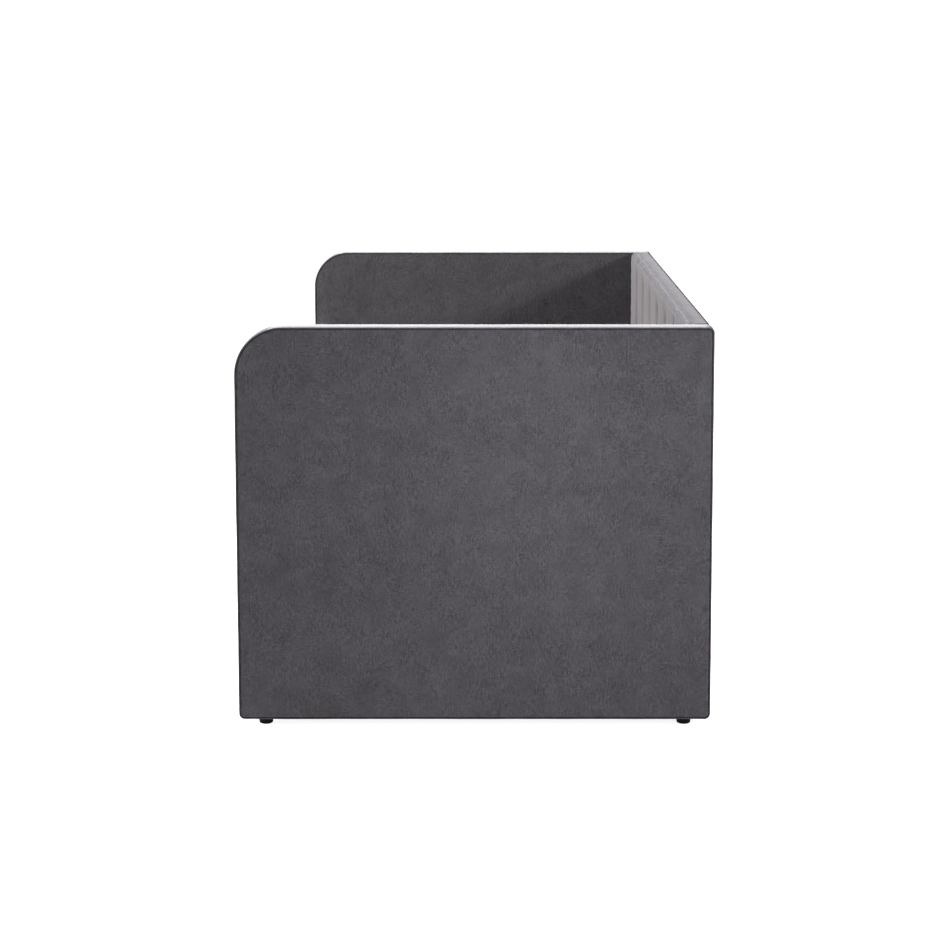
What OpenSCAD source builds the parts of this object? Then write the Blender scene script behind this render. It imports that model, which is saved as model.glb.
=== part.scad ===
// Upholstered twin daybed with a pull-out trundle on four rigid castors.
// +Z up, +X along the bed, -Y towards the front. The origin is on the floor,
// under the middle of the bed.

/* [Bed] */
// Length over both arms
bed_l = 2090; // [2080:5:2200]
// Width from the front edge to the rear edge of the arms
bed_w = 1080; // [1080:5:1160]
// Height of the arms and the back
bed_h = 920; // [800:10:1000]
// Height of the feet
foot_h = 15; // [12:1:25]

/* [Arms] */
// Thickness of an arm
arm_t = 62; // [60:1:80]
// Radius of the upper front corner of an arm
arm_corner_r = 110; // [60:5:160]
// Radius of the other corners of an arm
arm_edge_r = 14; // [8:1:18]
// Foam and fabric on each face of an arm
face_pad_t = 10; // [8:1:12]
// Foam and fabric round the edge of an arm
band_t = 4; // [3:1:6]

/* [Back] */
// Gap between the rear faces of the back and of the arms
back_inset = 8; // [2:1:10]
// Thickness of the back
back_t = 55; // [52:1:60]
// Channelled pad on the front of the back
channel_pad_t = 18; // [16:1:22]
// Plain pad below the channelled one
lower_pad_t = 10; // [8:1:12]
// Cover on the rear of the back
rear_cover_t = 5; // [3:1:6]
// Number of sewn channels
channel_n = 7; // [5:1:11]

/* [Front rail] */
// Height of the lower edge of the front rail
rail_z = 276; // [274:1:282]
// Height of the front rail
rail_h = 134; // [120:1:160]
// Thickness of the front rail with its cover
rail_t = 32; // [32:1:34]

/* [Slats] */
// Height of the top of the daybed slats
platform_z = 348; // [344:1:352]
// Number of daybed slats
bed_slat_n = 13; // [10:1:16]
// Number of trundle slats
trundle_slat_n = 12; // [10:1:16]
// Width of a slat
slat_w = 68; // [50:1:80]

/* [Trundle] */
// Gap between a trundle side and the arm beside it
trundle_gap = 8; // [6:1:14]
// Height of the top of the trundle slats
trundle_platform_z = 115; // [112:1:120]
// Height of the trundle side boards above the floor
trundle_side_z = 40; // [32:1:45]
// Height of the trundle side boards from their lower to their upper edge
trundle_side_h = 125; // [110:1:140]
// Height of the trundle front above the floor
trundle_front_z = 30; // [25:1:35]
// Gap between the trundle front and the front rail
front_gap = 8; // [6:1:14]

/* [Castors] */
// Radius of a castor wheel
wheel_r = 25; // [22:1:26]
// Width of a castor wheel
wheel_w = 20; // [16:1:22]
// Radius of a castor axle
axle_r = 3; // [2.5:0.5:4]

/* [Hidden] */
$fn = 48;

// Running clearance of a wheel on its axle, and of a fastener in its hole
run_gap = 0.05;
hole_gap = 0.1;
// A cut starts this far outside the face it goes through
over = 1;

// Boards and frames
board_t = 3;                 // hardboard skin
frame_w = 45;                // width of a frame member
bearer_lo = 270;             // bearer inside the arms and the back
bearer_hi = 345;
upper_bearer_lo = 600;
upper_bearer_hi = 645;
frame_t = arm_t - 2 * (face_pad_t + board_t);

// Faces of the arms
arm_in = bed_l / 2 - arm_t;
arm_out = bed_l / 2;
front_y = -bed_w / 2;
rear_y = bed_w / 2;

// Faces of the back, from the rear one forwards
back_rear = rear_y - back_inset;
back_face = back_rear - back_t;
back_frame_front = back_face + channel_pad_t + board_t;
back_frame_rear = back_rear - rear_cover_t - board_t;
lower_face = back_face + channel_pad_t - lower_pad_t;
channel_pad_z = platform_z + 4;
channel_w = 2 * arm_in / channel_n;
groove_w = 14;
groove_d = 7;

// Front rail
rail_front = front_y + 4;
rail_in = rail_front + rail_t;
rail_board_t = 18;
rail_cover_front_t = 9;
rail_cover_edge_t = 6;

// Slats, ledgers and straps
bed_slat_t = 18;
trundle_slat_t = 15;
slat_edge_r = 3;
ledger_w = 25;
ledger_h = 30;
bracket_room = 53;
bed_ledger_l = 2 * (arm_in - bracket_room);
slat_run = 2 * (arm_in - 23);
strap_w = 30;
strap_t = 1.4;
strap_y = 250;

// Steel corner brackets
bracket_leg = 45;
bracket_h = 40;
bracket_t = 3;
bracket_z = bearer_lo + 14;
bracket_holes = [15, 33];
bolt_r = 3;
bolt_l = 40;
screw_r = 2.2;

// Feet
foot_top_r = 17;
foot_low_r = 16;
foot_round_r = 4;
foot_bore_r = 5;
foot_screw_head_z = 6;
foot_screw_l = 38;
foot_y = bed_w / 2 - 60;
foot_x = arm_in + arm_t / 2;

// Trundle box
trundle_out = arm_in - trundle_gap;
side_t = 18;
trundle_in = trundle_out - side_t;
front_out = arm_in - 6;
front_face = front_y + 3;
front_board_t = 16;
front_pad_t = 8;
front_wrap_t = 2;
front_edge_t = 6;
front_in = front_face + front_pad_t + front_board_t + front_wrap_t;
front_top = rail_z - front_gap;
box_rear = lower_face - 10;
box_back_t = 12;
box_back_in = box_rear - box_back_t;
trundle_ledger_z = trundle_platform_z - trundle_slat_t - ledger_h;
block_l = 80;
block_z = 60;
block_h = trundle_platform_z - trundle_slat_t - block_z;

// Castors, one under each corner block
plate_x = 70;
plate_y = 60;
plate_t = 2.5;
fork_t = 2.5;
fork_gap = 1;
fork_end_r = 9;
castor_x = trundle_in - block_l / 2;
castor_ys = [front_in + block_l / 2, box_back_in - block_l / 2];
castor_screw_x = 27;
castor_screw_y = 22;
axle_head_r = 5;
axle_head_t = 2;

// Screws of the trundle box
side_screw_dy = 10;
side_screw_z = 74;
pocket_x = 18;
pocket_z = 92;
pocket_r = 5;
pocket_d = 50;

// Finishes
fabric = [0.35, 0.34, 0.36];
timber = [0.80, 0.66, 0.46];
hardboard = [0.50, 0.37, 0.24];
webbing = [0.16, 0.16, 0.17];
plastic = [0.06, 0.06, 0.06];
steel = [0.70, 0.71, 0.72];

SIDES = ["left", "right"];
ENDS = ["front", "rear"];
CORNERS = [for (e = ENDS, s = SIDES) str(e, "_", s)];

// ---------- helpers ----------

// A box from its lowest to its highest corner
module box(lo, hi) {
    translate(lo) cube(hi - lo);
}

// Children drawn for the right or the rear, mirrored for the left or the front
module on_side(i) {
    mirror([1 - i, 0, 0]) children();
}

module at_corners() {
    for (e = [0, 1], s = [0, 1]) on_side(s) corner(e) children();
}

// Shifts children by the castor's place at the front or the rear
module corner(e) {
    translate([castor_x, castor_ys[e], 0]) children();
}

// Turns a solid that points along +Z so that it points along +X, +Y or -Y
module to_x() {
    rotate([0, 90, 0]) children();
}
module to_rear() {
    rotate([-90, 0, 0]) children();
}
module to_front() {
    rotate([90, 0, 0]) children();
}

// A flat outline in the Y-Z plane, extruded along X
module slab_x(x0, t) {
    translate([x0, 0, 0]) rotate([90, 0, 90]) linear_extrude(t) children();
}

// A screw that points along +Z with its head below z = 0
module screw(l, r = screw_r, head_r = 4.4, head_h = 3) {
    difference() {
        union() {
            translate([0, 0, -head_h]) cylinder(h = head_h, r1 = head_r, r2 = head_r);
            cylinder(h = l, r = r);
        }
        translate([0, 0, -head_h - over]) cylinder(h = over + head_h / 2, r = r, $fn = 6);
    }
}

// The hole for it, with a counterbore as deep as the head
module screw_hole(l, r = screw_r, head_r = 4.4, head_h = 3) {
    translate([0, 0, -head_h - over])
        cylinder(h = head_h + over, r = head_r + hole_gap);
    translate([0, 0, -over]) cylinder(h = l + over + hole_gap, r = r + hole_gap);
}

// ---------- places where fasteners go ----------

// Bolts from the brackets into one arm
module bracket_bolt_axes() {
    for (d = bracket_holes) {
        translate([arm_in - bracket_t, rail_in + d, bracket_z + bracket_h / 2]) to_x() children();
        translate([arm_in - bracket_t, lower_face - d, bracket_z + bracket_h / 2]) to_x() children();
    }
}

module rail_screw_axes() {
    for (d = bracket_holes)
        translate([arm_in - d, rail_in + bracket_t, bracket_z + bracket_h / 2])
            to_front() children();
}

module back_screw_axes() {
    for (d = bracket_holes)
        translate([arm_in - d, lower_face - bracket_t, bracket_z + bracket_h / 2])
            to_rear() children();
}

function ledger_xs(n, l) = [for (i = [0 : n - 1]) -l / 2 + l * (i + 0.5) / n];

module bed_ledger_axes(e) {
    z = platform_z - bed_slat_t - ledger_h / 2;
    for (x = ledger_xs(6, bed_ledger_l))
        if (e == 0) translate([x, rail_in + ledger_w - 3, z]) to_front() children();
        else translate([x, lower_face - ledger_w + 3, z]) to_rear() children();
}

module trundle_ledger_axes(e) {
    z = trundle_ledger_z + ledger_h / 2;
    for (x = ledger_xs(6, 2 * (trundle_in - block_l)))
        if (e == 0) translate([x, front_in + ledger_w - 3, z]) to_front() children();
        else translate([x, box_back_in - ledger_w + 3, z]) to_rear() children();
}

bed_screw_l = [40, 58];
trundle_screw_l = [34, 30];

// Screws that hold the first and the last slat down
module slat_screw_axes(run, ys, z) {
    for (x = [-1, 1] * (run - slat_w) / 2, y = ys)
        translate([x, y, z - 3]) mirror([0, 0, 1]) children();
}

module bed_slat_axes() {
    slat_screw_axes(slat_run - 30, [rail_in + 12, lower_face - 12], platform_z) children();
}

module trundle_slat_axes() {
    slat_screw_axes(2 * trundle_in - 124, [front_in + 12, box_back_in - 12], trundle_platform_z)
        children();
}

module foot_screw_axis() {
    translate([0, 0, foot_screw_head_z]) children();
}

module foot_axes() {
    for (y = [-foot_y, foot_y]) translate([foot_x, y, 0]) children();
}

module castor_screw_axes() {
    for (x = [-1, 1] * castor_screw_x, y = [-1, 1] * castor_screw_y)
        translate([x, y, block_z - plate_t]) children();
}

// Screws through one side board into a corner block, seen from the block's centre
module side_screw_axes() {
    for (y = [-1, 1] * side_screw_dy)
        translate([trundle_out - castor_x - 3, y, side_screw_z]) rotate([0, -90, 0]) children();
}

// Pocket screws through a corner block into the front or the back board
module pocket_screw_axes(e) {
    for (x = [-1, 1] * pocket_x)
        translate([x, (e == 0 ? 1 : -1) * (block_l / 2 - pocket_d), pocket_z])
            if (e == 0) to_front() children();
            else to_rear() children();
}

pocket_screw_l = block_l - pocket_d + 10;

// ---------- arms ----------

// Side view of an arm, smaller by inset all round
module arm_outline(inset = 0) {
    y0 = front_y + inset;
    y1 = rear_y - inset;
    z0 = foot_h + inset;
    z1 = bed_h - inset;
    r = arm_corner_r - inset;
    edge_r = arm_edge_r - inset;
    translate([y0 + r, z1 - r]) circle(r);
    translate([y0, z0 + edge_r]) square([y1 - y0, z1 - z0 - r - edge_r]);
    translate([y0 + r, z1 - r]) square([y1 - y0 - r, r - edge_r]);
    translate([y0 + edge_r, z0]) square([y1 - y0 - 2 * edge_r, edge_r]);
    translate([y0 + r, z1 - edge_r]) square([y1 - y0 - r - edge_r, edge_r]);
    for (y = [y0 + edge_r, y1 - edge_r]) translate([y, z0 + edge_r]) circle(edge_r);
    translate([y1 - edge_r, z1 - edge_r]) circle(edge_r);
}

// The openings between the members of an arm's frame
module arm_frame_windows() {
    w = bed_w - 2 * (band_t + frame_w);
    y0 = -w / 2;
    z0 = foot_h + band_t + frame_w;
    z1 = bed_h - band_t - frame_w;
    brace = arm_corner_r - frame_w / 2;
    translate([y0, z0]) square([w, bearer_lo - z0]);
    translate([y0, bearer_hi]) square([w, upper_bearer_lo - bearer_hi]);
    difference() {
        translate([y0, upper_bearer_hi]) square([w, z1 - upper_bearer_hi]);
        translate([y0, z1 - brace]) square([brace, brace]);
    }
}

module arm_frame(s) {
    color(timber) on_side(s) difference() {
        slab_x(arm_in + face_pad_t + board_t, frame_t) difference() {
            arm_outline(band_t);
            arm_frame_windows();
        }
        bracket_bolt_axes() screw_hole(bolt_l, bolt_r);
        foot_axes() foot_screw_axis() screw_hole(foot_screw_l);
    }
}

module arm_boards(s) {
    color(hardboard) on_side(s) difference() {
        union() {
            slab_x(arm_in + face_pad_t, board_t) arm_outline(band_t);
            slab_x(arm_out - face_pad_t - board_t, board_t) arm_outline(band_t);
        }
        bracket_bolt_axes() screw_hole(bolt_l, bolt_r);
    }
}

module arm_inner_pad(s) {
    color(fabric) on_side(s) difference() {
        slab_x(arm_in, face_pad_t) arm_outline(band_t);
        bracket_bolt_axes() cylinder(h = bolt_l, r = bolt_r + hole_gap);
    }
}

module arm_outer_pad(s) {
    color(fabric) on_side(s) slab_x(arm_out - face_pad_t, face_pad_t) arm_outline(band_t);
}

// The boxing strip sewn between the two faces of an arm
module arm_band(s) {
    color(fabric) on_side(s) difference() {
        slab_x(arm_in, arm_t) difference() {
            arm_outline();
            arm_outline(band_t);
        }
        foot_axes() foot_screw_axis() cylinder(h = foot_screw_l, r = screw_r + hole_gap);
    }
}

// ---------- back ----------

module back_frame() {
    bay = (2 * arm_in - 4 * frame_w) / 3;
    color(timber) difference() {
        box([-arm_in, back_frame_front, foot_h], [arm_in, back_frame_rear, bed_h - band_t]);
        for (i = [0 : 2], zs = [[foot_h + frame_w, bearer_lo],
                                [bearer_hi, upper_bearer_lo],
                                [upper_bearer_hi, bed_h - band_t - frame_w]]) {
            x = -arm_in + frame_w + i * (bay + frame_w);
            box([x, back_frame_front - over, zs[0]], [x + bay, back_frame_rear + over, zs[1]]);
        }
        for (s = [0, 1]) on_side(s) back_screw_axes() screw_hole(38);
        bed_ledger_axes(1) screw_hole(bed_screw_l[1]);
    }
}

module back_boards() {
    color(hardboard) difference() {
        union() {
            box([-arm_in, back_frame_front - board_t, foot_h],
                [arm_in, back_frame_front, bed_h - band_t]);
            box([-arm_in, back_frame_rear, foot_h],
                [arm_in, back_frame_rear + board_t, bed_h - band_t]);
        }
        for (s = [0, 1]) on_side(s) back_screw_axes() screw_hole(38);
        bed_ledger_axes(1) screw_hole(bed_screw_l[1]);
    }
}

// The channelled pad, with a V groove at each seam
module back_channel_pad() {
    color(fabric) difference() {
        box([-arm_in, back_face, channel_pad_z],
            [arm_in, back_frame_front - board_t, bed_h - band_t]);
        for (i = [1 : channel_n - 1])
            translate([-arm_in + i * channel_w, back_face, channel_pad_z - over])
                linear_extrude(bed_h)
                    polygon([[-groove_w / 2, -over], [groove_w / 2, -over], [0, groove_d]]);
    }
}

module back_lower_pad() {
    color(fabric) difference() {
        box([-arm_in, lower_face, foot_h], [arm_in, back_frame_front - board_t, channel_pad_z]);
        for (s = [0, 1]) on_side(s) back_screw_axes() cylinder(h = 38, r = screw_r + hole_gap);
        bed_ledger_axes(1) screw_hole(bed_screw_l[1]);
    }
}

module back_rear_cover() {
    color(fabric)
        box([-arm_in, back_rear - rear_cover_t, foot_h], [arm_in, back_rear, bed_h - band_t]);
}

module back_top_band() {
    color(fabric) box([-arm_in, back_face, bed_h - band_t], [arm_in, back_rear, bed_h]);
}

// ---------- front rail ----------

module front_rail_holes() {
    for (s = [0, 1]) on_side(s) rail_screw_axes() cylinder(h = 22, r = screw_r + hole_gap);
    bed_ledger_axes(0) screw_hole(bed_screw_l[0]);
}

module front_rail_core(extra = 0) {
    y0 = rail_front + rail_cover_front_t;
    box([-arm_in - extra, y0, rail_z + rail_cover_edge_t],
        [arm_in + extra, y0 + rail_board_t, rail_z + rail_h - rail_cover_edge_t]);
}

module front_rail() {
    color(timber) difference() {
        front_rail_core();
        front_rail_holes();
    }
}

// Foam and fabric wrapped round the rail, open at the arms
module front_rail_cover() {
    color(fabric) difference() {
        box([-arm_in, rail_front, rail_z], [arm_in, rail_in, rail_z + rail_h]);
        front_rail_core(over);
        front_rail_holes();
    }
}

// ---------- daybed slats ----------

module bed_ledger(e) {
    z = platform_z - bed_slat_t;
    y = e == 0 ? rail_in : lower_face - ledger_w;
    color(timber) difference() {
        box([-bed_ledger_l / 2, y, z - ledger_h], [bed_ledger_l / 2, y + ledger_w, z]);
        bed_ledger_axes(e) screw_hole(bed_screw_l[e]);
        bed_slat_axes() screw_hole(36);
    }
}

// A slat along Y with rounded long edges
module slat(l, t) {
    rotate([-90, 0, 0]) linear_extrude(l) translate([0, -t]) {
        translate([slat_edge_r - slat_w / 2, 0]) square([slat_w - 2 * slat_edge_r, t]);
        translate([-slat_w / 2, slat_edge_r]) square([slat_w, t - 2 * slat_edge_r]);
        for (x = [-1, 1] * (slat_w / 2 - slat_edge_r), y = [slat_edge_r, t - slat_edge_r])
            translate([x, y]) circle(slat_edge_r);
    }
}

module slat_row(n, run, y0, y1, z, t) {
    for (i = [0 : n - 1])
        translate([-(run - slat_w) / 2 + i * (run - slat_w) / (n - 1), y0, z]) slat(y1 - y0, t);
}

module bed_slats() {
    z = platform_z - bed_slat_t;
    color(timber) difference() {
        slat_row(bed_slat_n, slat_run - 30, rail_in + 3, lower_face - 4, z, bed_slat_t);
        bed_slat_axes() screw_hole(36);
    }
}

module strap_pair(l, z) {
    color(webbing) for (y = [-strap_y, strap_y])
        box([-l / 2, y - strap_w / 2, z - strap_t], [l / 2, y + strap_w / 2, z]);
}

module bed_slat_straps() {
    strap_pair(slat_run - 50, platform_z - bed_slat_t);
}

module bed_slat_screws() {
    color(steel) bed_slat_axes() screw(36);
}

module bed_ledger_screws() {
    color(steel) for (e = [0, 1]) bed_ledger_axes(e) screw(bed_screw_l[e]);
}

// ---------- corner brackets ----------

module corner_bracket(e, s) {
    color(steel) on_side(s) difference() {
        y0 = e == 0 ? rail_in : lower_face - bracket_leg;
        y_leg = e == 0 ? rail_in : lower_face - bracket_t;
        union() {
            box([arm_in - bracket_t, y0, bracket_z],
                [arm_in, y0 + bracket_leg, bracket_z + bracket_h]);
            box([arm_in - bracket_leg, y_leg, bracket_z],
                [arm_in, y_leg + bracket_t, bracket_z + bracket_h]);
        }
        bracket_bolt_axes() cylinder(h = bolt_l, r = bolt_r + hole_gap);
        rail_screw_axes() translate([0, 0, -over]) cylinder(h = 22, r = screw_r + hole_gap);
        back_screw_axes() translate([0, 0, -over]) cylinder(h = 38, r = screw_r + hole_gap);
    }
}

module bracket_bolts() {
    color(steel) for (s = [0, 1]) on_side(s)
        bracket_bolt_axes() screw(bolt_l, bolt_r, 6, 3.5);
}

module bracket_screws() {
    color(steel) for (s = [0, 1]) on_side(s) {
        rail_screw_axes() screw(20);
        back_screw_axes() screw(36);
    }
}

// ---------- feet ----------

module foot(e, s) {
    color(plastic) on_side(s) translate([foot_x, e == 0 ? -foot_y : foot_y, 0]) difference() {
        rotate_extrude() {
            polygon([[0, 0], [foot_low_r - foot_round_r, 0], [foot_low_r, foot_round_r],
                     [foot_top_r, foot_h], [0, foot_h]]);
            intersection() {
                translate([foot_low_r - foot_round_r, foot_round_r]) circle(foot_round_r);
                square([foot_top_r, foot_h]);
            }
        }
        translate([0, 0, -over]) cylinder(h = foot_screw_head_z + over, r = foot_bore_r);
        cylinder(h = 2 * foot_h, r = screw_r + hole_gap);
    }
}

module foot_screws() {
    color(steel) for (s = [0, 1]) on_side(s) foot_axes() foot_screw_axis() screw(foot_screw_l);
}

// ---------- trundle box ----------

module trundle_front_core() {
    box([front_edge_t - front_out, front_face + front_pad_t, trundle_front_z + front_edge_t],
        [front_out - front_edge_t, front_in - front_wrap_t, front_top - front_edge_t]);
}

module trundle_front_holes() {
    trundle_ledger_axes(0) screw_hole(trundle_screw_l[0]);
    for (s = [0, 1]) on_side(s) corner(0)
        pocket_screw_axes(0) cylinder(h = pocket_screw_l + hole_gap, r = screw_r + hole_gap);
}

module trundle_front_board() {
    color(timber) difference() {
        trundle_front_core();
        trundle_front_holes();
    }
}

module trundle_front_cover() {
    color(fabric) difference() {
        box([-front_out, front_face, trundle_front_z], [front_out, front_in, front_top]);
        trundle_front_core();
        trundle_front_holes();
    }
}

module trundle_side(s) {
    color(timber) on_side(s) difference() {
        box([trundle_in, front_in, trundle_side_z],
            [trundle_out, box_rear, trundle_side_z + trundle_side_h]);
        for (e = [0, 1]) corner(e) side_screw_axes() screw_hole(40);
    }
}

module trundle_back_board() {
    color(timber) difference() {
        box([-trundle_in, box_back_in, trundle_side_z],
            [trundle_in, box_rear, trundle_side_z + trundle_side_h]);
        trundle_ledger_axes(1) screw_hole(trundle_screw_l[1]);
        for (s = [0, 1]) on_side(s) corner(1)
            pocket_screw_axes(1) cylinder(h = pocket_screw_l + hole_gap, r = screw_r + hole_gap);
    }
}

module trundle_corner_blocks() {
    color(timber) for (e = [0, 1], s = [0, 1]) on_side(s) corner(e) difference() {
        box([-block_l / 2, -block_l / 2, block_z], [block_l / 2, block_l / 2, block_z + block_h]);
        side_screw_axes() screw_hole(40);
        castor_screw_axes() cylinder(h = 22 + hole_gap, r = screw_r + hole_gap);
        pocket_screw_axes(e) {
            translate([0, 0, -pocket_d - over]) cylinder(h = pocket_d + over, r = pocket_r);
            translate([0, 0, -over]) cylinder(h = block_l, r = screw_r + hole_gap);
        }
    }
}

module trundle_ledger(e) {
    l = trundle_in - block_l;
    y = e == 0 ? front_in : box_back_in - ledger_w;
    color(timber) difference() {
        box([-l, y, trundle_ledger_z], [l, y + ledger_w, trundle_ledger_z + ledger_h]);
        trundle_ledger_axes(e) screw_hole(trundle_screw_l[e]);
        trundle_slat_axes() screw_hole(28);
    }
}

module trundle_slats() {
    color(timber) difference() {
        slat_row(trundle_slat_n, 2 * trundle_in - 14, front_in + 2, box_back_in - 2,
                 trundle_platform_z - trundle_slat_t, trundle_slat_t);
        trundle_slat_axes() screw_hole(28);
    }
}

module trundle_slat_straps() {
    strap_pair(2 * trundle_in - 30, trundle_platform_z - trundle_slat_t);
}

module trundle_slat_screws() {
    color(steel) trundle_slat_axes() screw(28);
}

module trundle_ledger_screws() {
    color(steel) for (e = [0, 1]) trundle_ledger_axes(e) screw(trundle_screw_l[e]);
}

module trundle_block_screws() {
    color(steel) for (e = [0, 1], s = [0, 1]) on_side(s) corner(e) {
        side_screw_axes() screw(40);
        pocket_screw_axes(e) screw(pocket_screw_l);
    }
}

// ---------- castors ----------

module castor_bracket(e, s) {
    fork_in = wheel_w / 2 + fork_gap;
    color(steel) on_side(s) corner(e) difference() {
        union() {
            box([-plate_x / 2, -plate_y / 2, block_z - plate_t], [plate_x / 2, plate_y / 2, block_z]);
            for (x = [-fork_in - fork_t, fork_in]) slab_x(x, fork_t) {
                translate([0, wheel_r]) circle(fork_end_r);
                translate([-fork_end_r, wheel_r])
                    square([2 * fork_end_r, block_z - plate_t / 2 - wheel_r]);
            }
        }
        translate([-plate_x, 0, wheel_r]) to_x() cylinder(h = 2 * plate_x, r = axle_r + run_gap);
        castor_screw_axes() translate([0, 0, -over]) cylinder(h = 9, r = screw_r + hole_gap);
    }
}

// A wheel with a rounded tread and a recess in each face between the rim and the hub
module castor_wheel(e, s) {
    tread_r = 4;
    hub_r = 9;
    rim_in = wheel_r - 6;
    recess = 4;
    h = wheel_w / 2;
    color(plastic) on_side(s) corner(e) translate([0, 0, wheel_r]) to_x() rotate_extrude()
        difference() {
            union() {
                translate([0, -h]) square([wheel_r - tread_r, wheel_w]);
                translate([0, tread_r - h]) square([wheel_r, wheel_w - 2 * tread_r]);
                for (z = [-1, 1] * (h - tread_r)) translate([wheel_r - tread_r, z]) circle(tread_r);
            }
            for (z = [-h - over, h - recess])
                translate([hub_r, z]) square([rim_in - hub_r, recess + over]);
            translate([0, -wheel_w]) square([axle_r + run_gap, 2 * wheel_w]);
        }
}

module castor_axles() {
    l = wheel_w + 2 * (fork_gap + fork_t + 0.2);
    color(steel) at_corners() translate([0, 0, wheel_r]) to_x() {
        translate([0, 0, -l / 2]) cylinder(h = l, r = axle_r);
        for (z = [-l / 2 - axle_head_t, l / 2]) translate([0, 0, z])
            cylinder(h = axle_head_t, r = axle_head_r);
    }
}

module castor_screws() {
    color(steel) at_corners() castor_screw_axes() screw(22, head_h = 2);
}

// ---------- nodes ----------

for (i = [0, 1]) {
    s = SIDES[i];
    arm_frame(i);
    arm_boards(i);
    arm_inner_pad(i);
    arm_outer_pad(i);
    arm_band(i);
    trundle_side(i);
}
back_frame();
back_boards();
back_channel_pad();
back_lower_pad();
back_rear_cover();
back_top_band();
front_rail();
front_rail_cover();
for (i = [0, 1]) {
    e = ENDS[i];
    bed_ledger(i);
    trundle_ledger(i);
}
bed_slats();
bed_slat_straps();
bed_slat_screws();
bed_ledger_screws();
for (i = [0, 1], j = [0, 1]) {
    c = str(ENDS[i], "_", SIDES[j]);
    corner_bracket(i, j);
    foot(i, j);
    castor_bracket(i, j);
    castor_wheel(i, j);
}
bracket_bolts();
bracket_screws();
foot_screws();
trundle_front_board();
trundle_front_cover();
trundle_back_board();
trundle_corner_blocks();
trundle_slats();
trundle_slat_straps();
trundle_slat_screws();
trundle_ledger_screws();
trundle_block_screws();
castor_axles();
castor_screws();
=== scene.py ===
"""Looks of an upholstered daybed and its trundle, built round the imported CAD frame."""

import math

import bmesh
import bpy
import numpy as np
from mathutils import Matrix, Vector


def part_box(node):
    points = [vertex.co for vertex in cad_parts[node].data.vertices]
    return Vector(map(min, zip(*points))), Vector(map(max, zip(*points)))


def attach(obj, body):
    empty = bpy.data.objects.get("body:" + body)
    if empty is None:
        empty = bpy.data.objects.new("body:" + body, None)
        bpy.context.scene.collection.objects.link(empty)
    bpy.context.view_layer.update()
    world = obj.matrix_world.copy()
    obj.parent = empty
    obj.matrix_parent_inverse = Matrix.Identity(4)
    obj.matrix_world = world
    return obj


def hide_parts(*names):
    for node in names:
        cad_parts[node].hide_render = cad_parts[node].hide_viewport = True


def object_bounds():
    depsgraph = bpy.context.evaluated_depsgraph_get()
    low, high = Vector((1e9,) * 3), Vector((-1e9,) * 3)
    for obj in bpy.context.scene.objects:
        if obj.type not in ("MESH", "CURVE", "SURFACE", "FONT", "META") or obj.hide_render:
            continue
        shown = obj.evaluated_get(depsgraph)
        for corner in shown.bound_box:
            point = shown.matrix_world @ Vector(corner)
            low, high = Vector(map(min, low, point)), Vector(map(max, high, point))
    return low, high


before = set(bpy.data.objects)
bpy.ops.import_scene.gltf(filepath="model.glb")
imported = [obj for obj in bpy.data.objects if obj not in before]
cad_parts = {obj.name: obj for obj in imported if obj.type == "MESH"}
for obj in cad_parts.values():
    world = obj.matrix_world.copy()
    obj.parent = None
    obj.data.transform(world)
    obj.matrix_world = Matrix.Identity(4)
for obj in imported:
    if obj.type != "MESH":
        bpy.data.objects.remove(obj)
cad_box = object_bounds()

SIDES = {"left": -1.0, "right": 1.0}

# Upholstery, in metres
CORNER_R = 0.110        # upper front corner of an arm
EDGE_R = 0.014          # its other corners
TRUNDLE_R = 0.008       # corners of the trundle's front
BAND_CROWN = 0.0015     # an edge strip stands this far proud between its seams
BAND_ROLL = 0.0018      # and rolls into them with this radius
PAD_ROLL = 0.0036       # roll of a face pad into the same seam
PAD_CROWN = 0.0034      # how far a face pad stands proud in its middle
PAD_FADE = 0.03         # and how far in from its edge it reaches that
PAD_PRESSURE = 2.5
PAD_SLACK = 0.004
SEAM_IN = 0.0048        # the seam runs this far inside the outline
SEAM_R = 0.0016         # radius of a seam round an edge strip
SEAM_GAP = 0.0018       # how far a face pad stays back from its CAD outline
TRUNDLE_GAP = 0.0058    # the same on the trundle's front, from the outline of the whole
THREAD_STEP = 0.006     # spacing of the points along a seam
TWIST = 0.0052          # one turn of the seam's thread
GRID = 0.010            # spacing of a face pad's mesh

# The back's channels
CHANNELS = 7
CHANNEL_DEPTH = 0.0045
CHANNEL_CROWN = 0.003
CHANNEL_PRESSURE = 5.0
CHANNEL_SLACK = 0.03
SEAM_TOP = 0.047        # the channel seams end this far below the top edge
BACK_ROLL = 0.015       # radius of the back's upper front edge
BACK_REAR_ROLL = 0.0026
BACK_LOW_ROLL = 0.007
BACK_END_ROLL = 0.00576
COVER_GAP = 0.0003      # its rear cover and lower pad stay back this far from their CAD outlines
LOWER_PAD_FREE = 0.24   # its lower pad swells up to this height, and lies flat above
ARC_STEPS = 6           # rows of faces round the upper front edge
STITCH_PITCH = 0.0066
STITCH_LENGTH = 0.0048

# Rail, slats and webbing
RAIL_R = 0.009          # long edges of the front rail's padding
RAIL_END_ROLL = 0.005
RAIL_BOW = 0.0022
SLAT_W = 0.068
STRAP_W = 0.030
STRAP_SAG = 0.0022
STAPLE_W = 0.0105
WIRE = 0.0007

# Cloth
SIM_STEP = 0.024
SIM_FRAMES = 20

# Camera and light
CAMERA_AT = (5.682, 0.066, 1.4705)
CAMERA_PITCH = 6.825
CAMERA_LENS = 80.0
CAMERA_SHIFT = (-0.0356, -0.15)
KEY_POWER, TOP_POWER, END_POWER, FRONT_POWER = 470, 80, 6.3, 560
WORLD_LIGHT = 0.26
FLOOR_GLOW = 0.35       # what the floor gives off
GLOW_IN_VIEW = 0.65     # and more than that where the camera sees it
PAINTED_SHADOW = 0.12           # and less where the camera sees the floor under the stowed bed: a painted shadow
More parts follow.
